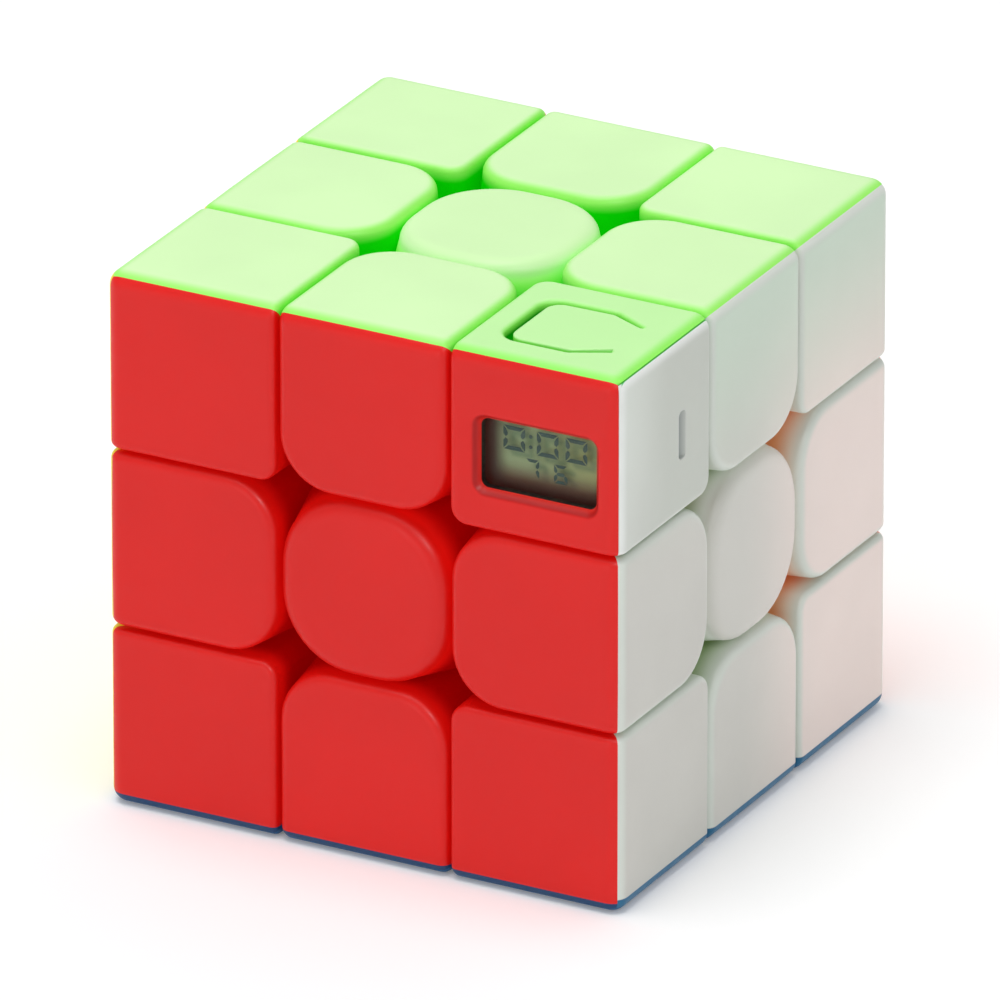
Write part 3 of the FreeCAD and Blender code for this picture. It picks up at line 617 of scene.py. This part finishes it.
def plateRings(coverSide):
    # a corner's face with its walls down to a flat underside; below the rim the wall beside the
    # battery cover, the one out along u (0) or v (1), bulges into the seam
    end = inner - mitreGap
    steps, bulges = (0.12, 0.25, 0.5, 0.75, 1.0), np.array([0.7, 1, 1, 1, 0])
    ends = (near, end, near, end)
    face, walls = faceAndWalls(timer, cornerSides, cornerOuter, ends, inner, steps)
    outermost = walls[..., coverSide] > walls[..., 2] - 0.2
    walls[..., coverSide] += outermost * bulges[:, None] * timer["bulge"]
    return np.concatenate([face, walls])


def pierced(plate, opening):
    # a plate's walls, with its face and its underside round an opening
    return [skin(plate, "none"), flatFill(plate[0], opening[0]), flatFill(plate[-1], opening[-1])]


def lShape(top):
    # the two hidden walls under a corner's plate: an L that follows the seam sides, inside and out,
    # with a rounded corner, and ends on the mitre planes; its two ends are flat sheets
    angle = np.linspace(math.pi * 1.5, math.pi, 9)
    turn = np.column_stack([np.cos(angle), np.sin(angle)])
    outside, inside = near + 0.01, cavity
    bend = inside + 0.4
    heights = np.linspace(top, timer["wallLow"], 8)
    paths = []
    for height in heights:
        radius = timer["radius"] * (1 - 0.5 * (half - height) / (half - near))
        far = height - mitreGap
        paths.append(np.concatenate([
            [(far, outside)], outside + radius + radius * turn, [(outside, far), (inside, far)],
            [(inside, bend), (bend, inside), (far, inside)],
        ]))
    points, faces = skin(atHeight(np.array(paths), heights), "none")
    count = len(paths[0])
    return points, faces + [list(range(count)), list(range(len(points) - count, len(points)))]


window = {
    "centre": (18.797, 17.317), "size": (13.4, 8.2), "radius": 1.3,
    "bevel": 0.5, "bevelDepth": 0.85,
    "soft": 0.16,        # rounding where the bevel leaves the face
    "throatColours": ((20, 18, 17), (30, 25, 22)),
}


def windowRings():
    # the opening from the face inwards: a soft turn over, the bevel, then the straight throat
    across, up = window["size"][0] / 2, window["size"][1] / 2
    u, v = window["centre"]
    soft, bevel, deep = window["soft"], window["bevel"], window["bevelDepth"]
    inset = [-2.2 * soft, -1.3 * soft, -0.5 * soft, 0.2 * soft, 0.5 * bevel, bevel, bevel, bevel]
    down = [0, 0.12 * soft, 0.55 * soft, 1.3 * soft, 0.55 * deep, deep, deep + 0.3, half - inner]
    inset = np.array(inset)
    sides = np.array([u - across, u + across, v - up, v + up]) + inward * inset[:, None]
    return atHeight(outline(sides, window["radius"] - inset, arcSteps=10), half - np.array(down))


def throatFinish():
    # near black inside the opening, behind the bevel
    nodes = Nodes("darkThroat")
    nodes.join(nodes.mottled(*window["throatColours"], 900, 2), "Base Color")
    nodes.join(nodes.grain(0.35, 0.5, 2500, 2), "Roughness")
    return nodes.material


opening, hiddenWalls, red = windowRings(), lShape(timer["wallTop"]), finishes["red"]
frontParts = pierced(plateRings(0), opening) + [hiddenWalls] + masterWings
housing = [laid(part, frontAxes, red) for part in frontParts]
housing += [laid(part, rightAxes, red) for part in [lShape(timer["housingEnd"])] + masterWings]
# the bevel with its painted shade and light, and the near black throat behind it
for rings, finish in ((opening[:6], finishes["bevelShadedRed"]), (opening[5:], throatFinish())):
    housing.append(laid(skin(rings, "none"), frontAxes, finish))
makePiece("timer_housing_shell", housing, "timer_corner", "timer_housing",
          timer["sharp"])

button = {
    "hingeX": 23.7, "centreY": -18.667,
    "length": 10.4, "half": 4.65, "neck": 2.8, "taper": 3.7,
    "tipRadius": 1.6, "taperRadius": 1.0,
    "drop": 0.1,  # the tip lies a little below the face
    "below": 0.004,  # and all its skin this much below the shell's
    "middle": 0.8,  # depth of a ring between rim and underside
    "rim": 0.18, "slotRim": 0.5,  # roundings beside the slot: the button's and the shell's
    "lap": 0.06,  # the button's root runs this far under the shell's skin
    "tipSlot": 0.9, "sideSlot": 0.5, "slotEnd": 0.3,
    "pipX": 16.8, "pipRadius": 0.8, "pipHeight": 0.9,
    "roll": ((-0.7, -2.75, 26.5), (0.68, 2.75, 27.85)),  # x and y from the hinge's middle
    "rollRadius": 0.45,
}


def tongueOutline(tip, side, hinge=0.0):
    # the button's outline, grown at its tip, sides and hinge, as one ring of (x, y) seen from
    # above; its corners are arcs tangent to the sides
    x0, x1 = button["hingeX"] - button["length"] - tip, button["hingeX"] + hinge
    taper = button["hingeX"] - button["taper"] + side * 0.2
    wide, neck = button["half"] + side, button["neck"] + side
    neck -= (wide - neck) / (button["hingeX"] - taper) * hinge
    corners = [(x0, -wide), (taper, -wide), (x1, -neck), (x1, neck), (taper, wide), (x0, wide)]
    corners = np.array(corners)
    tipRadius = button["tipRadius"] + (tip + side) / 2 * 0.8
    end = button["slotEnd"] if side > 0 else 0.02
    radii = (tipRadius, button["taperRadius"], end, end, button["taperRadius"], tipRadius)
    ring = []
    for index, (point, radius) in enumerate(zip(corners, radii)):
        before, after = corners[index - 1] - point, corners[(index + 1) % 6] - point
        before, after = before / np.linalg.norm(before), after / np.linalg.norm(after)
        halfAngle = math.acos(np.clip(before @ after, -1, 1)) / 2
        bisector = (before + after) / np.linalg.norm(before + after)
        middle = point + bisector * radius / math.sin(halfAngle)
        sweep = (math.pi - 2 * halfAngle) * np.linspace(-0.5, 0.5, 11)
        angles = math.atan2(-bisector[1], -bisector[0]) + sweep
        ring.append(middle + radius * np.column_stack([np.cos(angles), np.sin(angles)]))
        if index == 2:
            level = button["neck"] * np.array([-1.02, -0.98, -0.6, 0, 0.6, 0.98, 1.02])
            level = np.clip(level, 0.03 - neck, neck - 0.03)
            ring.append(np.column_stack([np.full(len(level), x1), level]))
    return np.concatenate(ring) + np.array([0, button["centreY"]])


def topDrop(ring, distance, rim):
    # rim rounding beside the slot, none across the hinge, where the button runs into the shell
    y = np.abs(ring[:, 1] - button["centreY"])
    fromHinge = (button["hingeX"] - 0.05 - ring[:, 0]) / 0.35
    fromNeck = (y - button["neck"] * 1.02) / 0.25
    return np.clip(np.maximum(fromHinge, fromNeck), 0, 1) * rimDrop(distance, rim)


def straightDown(ring):
    # the slot's walls, or the button's, below their rims
    return [atHeight(ring, height) for height in (half - button["middle"], inner)]


def slotRings():
    # the shell's skin turns down into the slot round a quarter circle
    tip, side, rim = button["tipSlot"], button["sideSlot"], button["slotRim"]
    rings = []
    for out in np.array([1.4, 1.0, 0.72, 0.48, 0.28, 0.13, 0.04, 0.0]) * rim:
        ring = tongueOutline(tip + out, side + out, out)
        rings.append(atHeight(ring, half - topDrop(ring, out, rim)))
    return np.array(rings + straightDown(tongueOutline(tip, side)))


def tonguePlate():
    # the button's face sinks evenly from the hinge to the tip, and its rim is a quarter circle
    rim, lap = button["rim"], button["lap"]
    rings = []
    for inside in np.array([1.6, 1.1, 0.7, 0.4, 0.15, 0.0]) * rim:
        ring = tongueOutline(-inside, -inside, lap)
        slope = button["drop"] * (button["hingeX"] + lap - ring[:, 0]) / button["length"]
        rings.append(atHeight(ring, half - button["below"] - topDrop(ring, inside, rim) - slope))
    rings = np.array(rings + straightDown(tongueOutline(0, 0, lap)))
    lids, floor = closedInside(rings[0], (0.3, 0.7)), closedInside(rings[-1], (0.6, 0.2))
    return skin(np.concatenate([lids, rings, floor]))


slot, green = slotRings(), finishes["timerGreen"]
topParts = pierced(turned(plateRings(1), *topAxes), slot) + [skin(slot, "none")]
topParts = [part + (green,) for part in topParts]
topParts += [laid(part, topAxes, green) for part in [hiddenWalls] + masterWings]
makePiece("timer_top_cover", topParts, "timer_corner", "timer_top_shell",
          timer["sharp"])

low, wide = -button["pipHeight"], button["pipRadius"]
pip = [(0.05, low), (wide - 0.25, low + 0.02), (wide - 0.05, low + 0.18), (wide, low + 0.4),
       (wide, 0.3), (0.05, 0.3)]
pip = lathe(pip, (button["pipX"], button["centreY"], inner), "w", 32)
hinge = np.array([button["hingeX"], button["centreY"], 0])
roll = rounded(*(hinge + end for end in button["roll"]), button["rollRadius"])
buttonParts = [part + (finishes["buttonGreen"],) for part in (tonguePlate(), pip, roll)]
makePiece("start_button", buttonParts, "start_button", "timer_button",
          timer["sharp"])

cover = {
    "radius": 1.8, "baseRadius": 1.65, "rim": 0.68, "ledgeRadius": 0.5,
    "seams": (0.2, 0.06),    # gaps along the top and the front outer edge
    "pry": ((15.19, 20.12), (14.75, 16.05)), "pryRadius": 0.5, "pryDeep": 1.1, "prySoft": 0.08,
}


def coverShell():
    # the white face: its outer rims stop short of the mitre planes by the seams, where a plane
    # shifted by a seam meets the rounded outer edge
    seams = np.array(cover["seams"])
    turn = np.arccos(seams / edgeRound / math.sqrt(2)) - math.pi / 4
    rimTop, rimFront = edgeRound * (1 - np.tan(turn))
    low = timer["coverPlane"]
    endTop, endFront = low - seams
    face, walls = faceAndWalls(
        cover, cornerSides, cornerOuter, (near, endTop, near, endFront), low, (0.3, 0.65, 1.0),
        np.array([0, rimTop, 0, rimFront]),
    )
    # the low walls' rim turns back up to the underside
    ledge = outline([(cavity, endTop, cavity, endFront)] * 2, cover["ledgeRadius"], cornerOuter)
    under = atHeight(ledge, (low, inner))
    rings = np.concatenate([face, walls, under, closedInside(under[1], (0.7, 0.3))])
    return face[0], skin(rings, "last")


def pryPocket():
    # a slot whose floor slopes down evenly towards the front, with a soft rim
    (u0, u1), (v0, v1) = cover["pry"]
    grow = np.array([2.5, 1.0, 0.5, 0.15, 0.0, -0.05]) * cover["prySoft"]
    sides = np.array([u0, u1, v0, v1]) - inward * grow[:, None]
    flat = outline(sides, cover["pryRadius"] + grow, arcSteps=8)
    share = np.array([0.0, 0.0, 0.03, 0.1, 0.2, 1.0])[:, None]
    depth = cover["pryDeep"] * (flat[..., 1] - v0) / (v1 - v0)
    pocket = atHeight(flat, half - np.clip(share * depth, 0, None))
    return pocket[0], skin(np.concatenate([pocket, closedInside(pocket[-1], (0.7, 0.3))]), "last")


(coverInside, coverSkin), (pryRim, prySkin) = coverShell(), pryPocket()
# grey: the pry slot's white with painted shade
white, grey = finishes["timerWhite"], finishes["pryPaintedShade"]
coverParts = ((coverSkin, white), (flatFill(coverInside, pryRim), white), (prySkin, grey))
coverParts = [laid(part, rightAxes, finish) for part, finish in coverParts]
makePiece("battery_cover_shell", coverParts, "battery_door", "battery_cover",
          timer["sharp"])
print("timer shells ready")


# The display

display = {
    "left": 11.3, "right": 26.3, "low": 12.42, "top": 22.22,
    # front and back of each layer
    "reflector": (-25.1, -24.5), "digits": (-25.72, -25.7),
    "glass": (-25.69, -25.12), "glassLow": 11.25, "glassRadius": 0.1,
    "lens": (-26.38, -25.76), "lensRadius": 0.14,
    # width, height and bar of a digit, and the digits' lower left corners
    "big": (2.34, 2.5, 0.47), "bigPlaces": ((14.18, 17.4), (17.78, 17.4), (20.88, 17.4)),
    "small": (1.44, 1.95, 0.36), "smallPlaces": ((16.6, 14.93), (19.64, 14.93)),
    "barGap": 0.06,
    "colonX": 17.13, "colonHeights": (18.11, 19.18), "colonRadius": 0.2,
    "shadow": (0.55, -0.75), "shadowWidth": 0.4,       # the bars' soft shadow on the reflector
    "sharp": 50,
}
displayLook = {
    "segments": ((56, 84, 78), (66, 94, 84)),
    "cool": (196, 222, 164), "warm": (206, 216, 142), "warmFrom": (0.015, 0.025),
    "shadow": (96, 140, 104), "shadowShare": 0.55,
    # painted shade towards the lower rim and the left rim: axis, from, to, colour
    "shadeRims": ((2, 0.0139, 0.0164, (136, 106, 84)), (2, 0.0131, 0.0147, (98, 88, 78)),
             (0, 0.0126, 0.0146, (112, 102, 90))),
    # tint of the clear layers, and the share of them that isn't clear
    "glass": ((14, 20, 16), 0.05), "lens": ((12, 14, 13), 0.06), "clear": (8, 10, 9),
    "refraction": 1.49,
}
shownSegments = {"0": "abcdef", "7": "abc", "6": "acdefg"}


def digitBars(shown, place, size):
    # the outlines of a digit's bars: slanted ends above and below, pointed bars at the sides
    width, height, bar = size
    gap, mid = display["barGap"], height / 2
    across = [(gap, 0), (width - gap, 0), (width - bar - gap, bar * 0.9), (bar + gap, bar * 0.9)]
    bars = {
        "a": [(x, height - y) for x, y in across],
        "d": across,
        "g": [(bar * 0.7, mid), (bar + gap, mid + bar / 2), (width - bar - gap, mid + bar / 2),
              (width - bar * 0.7, mid), (width - bar - gap, mid - bar / 2),
              (bar + gap, mid - bar / 2)],
        "f": [(0, height - 1.5 * gap), (bar * 0.62, height - bar * 0.62 - 1.5 * gap),
              (bar, mid + (mid - bar) * 0.62), (bar * 0.95, mid + bar * 0.5),
              (bar * 0.5, mid + gap), (0, mid + bar * 0.75)],
    }
    bars["e"] = [(x, height - y) for x, y in bars["f"]]
    bars["b"] = [(width - x, y) for x, y in bars["f"]]
    bars["c"] = [(width - x, y) for x, y in bars["e"]]
    return [np.array(bars[letter]) + np.array(place) for letter in shown]


def upright(rings, y):
    # flat rings of (x, z) set upright
    return np.stack([rings[..., 0], np.full(rings.shape[:-1], y), rings[..., 1]], -1)


bars = []
for place in display["bigPlaces"]:
    bars += digitBars(shownSegments["0"], place, display["big"])
for shown, place in zip("76", display["smallPlaces"]):
    bars += digitBars(shownSegments[shown], place, display["small"])
digits = [skin([upright(bar, y) for y in display["digits"]]) for bar in bars]
colonX, dot, (front, back) = display["colonX"], display["colonRadius"], display["digits"]
for height in display["colonHeights"]:
    profile = [(0.01, front), (dot, front), (dot, back), (0.01, back)]
    digits.append(lathe(profile, (colonX, 0, height), "v", 16))
    bars.append(np.array([(colonX - 0.1, height), (colonX + 0.1, height)]))


def reflectorSlab():
    # the rear plate; its front is a fine net of outlines that shrink to the middle
    sides = [display[key] for key in ("left", "right", "low", "top")]
    ring = outline(sides, 0.1, arcSteps=4, sideSteps=64)[0]
    front, back = display["reflector"]
    net, rear = closedInside(ring, np.linspace(0.025, 1, 44)), closedInside(ring, (1.0, 0.5))
    return skin(np.concatenate([upright(net, front), upright(rear, back)]))


def castShade(points):
    # how far each point of the reflector lies in the soft shadow of the digits' bars: one on a
    # bar's shifted middle line, falling off with the square of the distance
    x, z = points[:, 0] - display["shadow"][0], points[:, 2] - display["shadow"][1]
    nearest = np.full(len(points), 9.0)
    for bar in bars:
        low, high = bar.min(axis=0), bar.max(axis=0)
        size, middle = high - low, (low + high) / 2
        axis = 0 if size[0] > size[1] else 1
        along = np.abs((x, z)[axis] - middle[axis]) - max(size[axis] / 2 - 0.25, 0)
        across = (x, z)[1 - axis] - middle[1 - axis]
        nearest = np.minimum(nearest, np.hypot(np.maximum(along, 0), across))
    return np.exp(-(nearest / display["shadowWidth"]) ** 2)


def digitFinish():
    nodes = Nodes("displaySegments")
    nodes.join(nodes.mottled(*displayLook["segments"], 900, 2), "Base Color")
    nodes.join(0.6, "Roughness")
    return nodes.material


def reflectorFinish():
    # grey-green behind the segments, with the bars' painted soft shadow, and painted shade in brown
    # and black towards its left and lower rims
    look = displayLook
    nodes = Nodes("displayReflector")
    places = nodes.place()
    colour = nodes.mix(nodes.spread(places[0], *look["warmFrom"]), look["cool"], look["warm"])
    colour = nodes.shaded(colour, nodes.grain(0.93, 1.0, 420, 3))
    shade = nodes.add("ShaderNodeAttribute", attribute_name="shade").outputs["Fac"]
    share = nodes.number("MULTIPLY", shade, look["shadowShare"])
    colour = nodes.mix(share, colour, look["shadow"])
    for axis, low, high, rim in look["shadeRims"]:
        colour = nodes.mix(nodes.spread(places[axis], low, high), rim, colour)
    nodes.join(colour, "Base Color")
    nodes.join(nodes.grain(0.3, 0.42, 3000, 2), "Roughness")
    return nodes.material


def clearFinish(name, tint, share):
    nodes = Nodes(name)
    nodes.join(nodes.mottled(tint, displayLook["clear"], 400, 2), "Base Color")
    nodes.join(nodes.grain(0.02, 0.06, 1500, 3), "Roughness")
    nodes.join(share, "Alpha")
    nodes.join(displayLook["refraction"], "IOR")
    return nodes.material


def sheetOf(layer, low):
    # a clear sheet as wide as the display, with rounded edges
    (front, back), radius = display[layer], display[layer + "Radius"]
    return rounded((display["left"], front, low), (display["right"], back, display["top"]), radius)


glass, segments = clearFinish("displayGlass", *displayLook["glass"]), digitFinish()
panelParts = [reflectorSlab() + (reflectorFinish(),)]
panelParts += [sheetOf("glass", display["glassLow"]) + (glass,)]
panelParts += [part + (segments,) for part in digits]
panel = makePiece("display_panel", panelParts, "timer_corner", "lcd_panel",
                  display["sharp"])
places = np.empty(len(panel.data.vertices) * 3)
panel.data.vertices.foreach_get("co", places)
shade = panel.data.attributes.new("shade", "FLOAT", "POINT")
shade.data.foreach_set("value", castShade(places.reshape(-1, 3) / mm))
lens = sheetOf("lens", display["low"]) + (clearFinish("lensPlastic", *displayLook["lens"]),)
makePiece("display_lens", [lens], "timer_corner", "lcd_window_lens",
          display["sharp"])
print("display ready")


# Electronics behind the cover


def metal(name, colour, other, roughness):
    nodes = Nodes(name)
    nodes.join(nodes.mottled(colour, other, 900, 4), "Base Color")
    nodes.join(nodes.grain(roughness - 0.06, roughness + 0.08, 2700, 3), "Roughness")
    nodes.bump(nodes.noise(4500, 2), 0.08, 0.00002)
    nodes.join(1.0, "Metallic")
    return nodes.material


def plain(name, colour, other, roughness):
    nodes = Nodes(name)
    nodes.join(nodes.mottled(colour, other, 600, 3), "Base Color")
    nodes.join(nodes.grain(roughness - 0.05, roughness + 0.06, 1200, 3), "Roughness")
    nodes.bump(nodes.noise(4800, 2), 0.1, 0.00003)
    return nodes.material


cells = {
    "y": -15.433, "z": 16.167,
    "outerEnd": 25.05,   # the outer cell's terminal, under the contact
    "height": 3.6, "gap": 0.1, "radius": 3.95, "terminal": 2.6, "terminalHeight": 0.2,
    "steel": ((205, 206, 208), (188, 190, 194), 0.24),
}
steel = metal("cellSteel", *cells["steel"])
can, terminal = cells["radius"], cells["terminal"]
cellParts = []
for place in range(2):
    end = cells["outerEnd"] - place * (cells["height"] + cells["gap"])
    start, canEnd = end - cells["height"], end - cells["terminalHeight"]
    # the can, the seal's groove and the terminal
    profile = [
        (0.05, start), (can - 0.65, start), (can - 0.25, start + 0.08), (can - 0.03, start + 0.35),
        (can, start + 0.7), (can, canEnd - 0.3), (can - 0.05, canEnd - 0.1), (can - 0.17, canEnd),
        (can - 0.6, canEnd), (can - 0.65, canEnd - 0.12),
        (terminal + 0.45, canEnd - 0.12), (terminal + 0.38, canEnd + 0.02),
        (terminal + 0.25, canEnd + 0.16), (terminal, end), (0.05, end),
    ]
    cellParts.append(lathe(profile, (0, cells["y"], cells["z"]), "u", 64) + (steel,))
makePiece("button_cells", cellParts, "timer_corner", "coin_cells", 30)

nodeFinishes = {
    "core_spider": plain("corePlastic", (34, 35, 38), (44, 45, 48), 0.45),
    "tension_screws": metal("screwSteel", (178, 180, 184), (160, 162, 168), 0.3),
    "circuit_board": plain("boardLaminate", (28, 96, 58), (22, 80, 48), 0.35),
    "start_switch": plain("switchPlastic", (40, 40, 42), (54, 54, 56), 0.4),
    "lcd_connector": plain("rubberStrip", (60, 60, 62), (226, 150, 160), 0.6),
    "battery_contacts": metal("contactMetal", (214, 190, 120), (200, 176, 110), 0.26),
    "tension_springs": metal("springSteel", (190, 192, 196), (170, 172, 178), 0.25),
}
for node, material in nodeFinishes.items():
    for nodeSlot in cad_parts[node].material_slots:
        nodeSlot.material = material
print("inside ready")


# Floor, light and camera

studio = {
    "floorHalf": 6.0,    # metres from the middle to a side
    "floorColours": ((250, 250, 250), (247, 247, 248)), "floorWhite": 0.14,
    "worldStrength": 0.55,
    # place, diameter and power
    "lamps": {
        "overheadSoft": ((-0.1, -0.15, 1.3), 0.9, 8.6),
        "frontSoft": ((-0.15, -1.3, 0.16), 0.7, 2.1),
        "sideSoft": ((1.3, -0.1, 0.16), 0.6, 0.55),
        "catchLight": ((0.8, -0.58, 0.84), 0.14, 4.5),
    },
}


def floorFinish():
    nodes = Nodes("palePaper")
    nodes.join(nodes.mottled(*studio["floorColours"], 4, 2), "Base Color")
    nodes.join(0.9, "Roughness")
    nodes.join(0.1, "Specular IOR Level")
    # a little white of its own, only where it is looked at, mirrored or seen through glass
    path = nodes.add("ShaderNodeLightPath")
    seen = nodes.number("MAXIMUM", path.outputs["Is Camera Ray"], path.outputs["Is Glossy Ray"])
    seen = nodes.number("MAXIMUM", seen, path.outputs["Is Transmission Ray"])
    nodes.join((1, 1, 1, 1), "Emission Color")
    nodes.join(nodes.number("MULTIPLY", seen, studio["floorWhite"]), "Emission Strength")
    return nodes.material


floorMesh = bpy.data.meshes.new("paper_floor")
size, level = studio["floorHalf"], -half * mm
floorCorners = [(x * size, y * size, level) for x, y in ((-1, -1), (1, -1), (1, 1), (-1, 1))]
floorMesh.from_pydata(floorCorners, [], [(0, 1, 2, 3)])
floorMesh.materials.append(floorFinish())
floor = bpy.data.objects.new("paper_floor", floorMesh)
scene.collection.objects.link(floor)

scene.world = world = bpy.data.worlds.new("studio")
world.use_nodes = True
background = world.node_tree.nodes["Background"].inputs
background["Color"].default_value = (1.0, 1.0, 1.0, 1.0)
background["Strength"].default_value = studio["worldStrength"]


def setUp(name, data, right, up, back, spot):
    # a lamp or the camera at a spot, looking against back
    item = bpy.data.objects.new(name, data)
    axes = np.column_stack([right, up, back, spot]).tolist()
    item.matrix_world = Matrix(axes + [[0, 0, 0, 1]])
    scene.collection.objects.link(item)
    return item


for lampName, (spot, size, power) in studio["lamps"].items():
    light = bpy.data.lights.new(lampName, "AREA")
    light.shape, light.size, light.energy = "DISK", size, power
    back = np.array(spot) / np.linalg.norm(spot)
    side = np.cross([0, 0, 1.0], back)
    side /= np.linalg.norm(side)
    lamp = setUp(lampName, light, side, np.cross(back, side), back, spot)
    # the catch light is only mirrored: it lights up the shoulders that face the upper right
    lamp.visible_diffuse = lampName != "catchLight"

view = {
    "azimuth": 28.17, "elevation": 24.07,
    "distance": 2202.3, "lens": 820.44, "sensor": 36.0, "clip": (0.05, 30),
    "shiftRight": 0.039, "shiftUp": -1.024,      # millimetres across the line of sight
}
azimuth, elevation = math.radians(view["azimuth"]), math.radians(view["elevation"])
outward = np.array([math.sin(azimuth), -math.cos(azimuth), math.tan(elevation)])
outward *= math.cos(elevation)
rightward = np.array([math.cos(azimuth), math.sin(azimuth), 0])
upward = np.cross(outward, rightward)
spot = outward * view["distance"] + rightward * view["shiftRight"] + upward * view["shiftUp"]
cameraData = bpy.data.cameras.new("camera")
cameraData.sensor_width, cameraData.lens = view["sensor"], view["lens"]
cameraData.clip_start, cameraData.clip_end = view["clip"]
scene.camera = setUp("camera", cameraData, rightward, upward, outward, spot * mm)
scene.view_settings.view_transform = "Standard"
print("studio ready")
